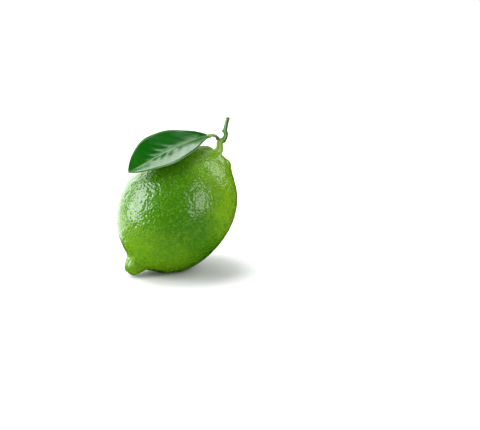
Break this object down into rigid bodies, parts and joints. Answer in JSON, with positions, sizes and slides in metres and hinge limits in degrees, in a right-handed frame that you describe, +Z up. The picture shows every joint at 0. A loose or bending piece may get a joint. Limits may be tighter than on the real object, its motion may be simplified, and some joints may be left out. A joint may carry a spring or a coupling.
{
  "type": "lime",
  "caption": "Whole green lime with a glossy pitted rind and a nipple, lying on its side, with a short kinked stem and a folded glossy leaf at its stem end.",
  "frame": {"origin": "centre of the small flat spot that the fruit rests on", "axes": "+Z up from the table, +X towards the raised stem end (the core axis lies in the XZ plane), -X towards the nipple, +Y across the fruit"},
  "size_m": [0.0587, 0.0498, 0.0654],
  "materials": {
    "lime_rind": "waxy gloss with oil-gland pits",
    "calyx_skin": "satin",
    "stem_bark": "satin",
    "bud_scales": "dull",
    "stalk_bark": "satin",
    "leaf_skin": "waxy gloss with veins"
  },
  "bodies": {
    "root": {"fruit": "lime_rind", "calyx": "calyx_skin", "stem": "stem_bark", "twig_bud": "bud_scales", "leaf_stalk": "stalk_bark", "leaf_blade": "leaf_skin"}
  },
  "joints": []
}
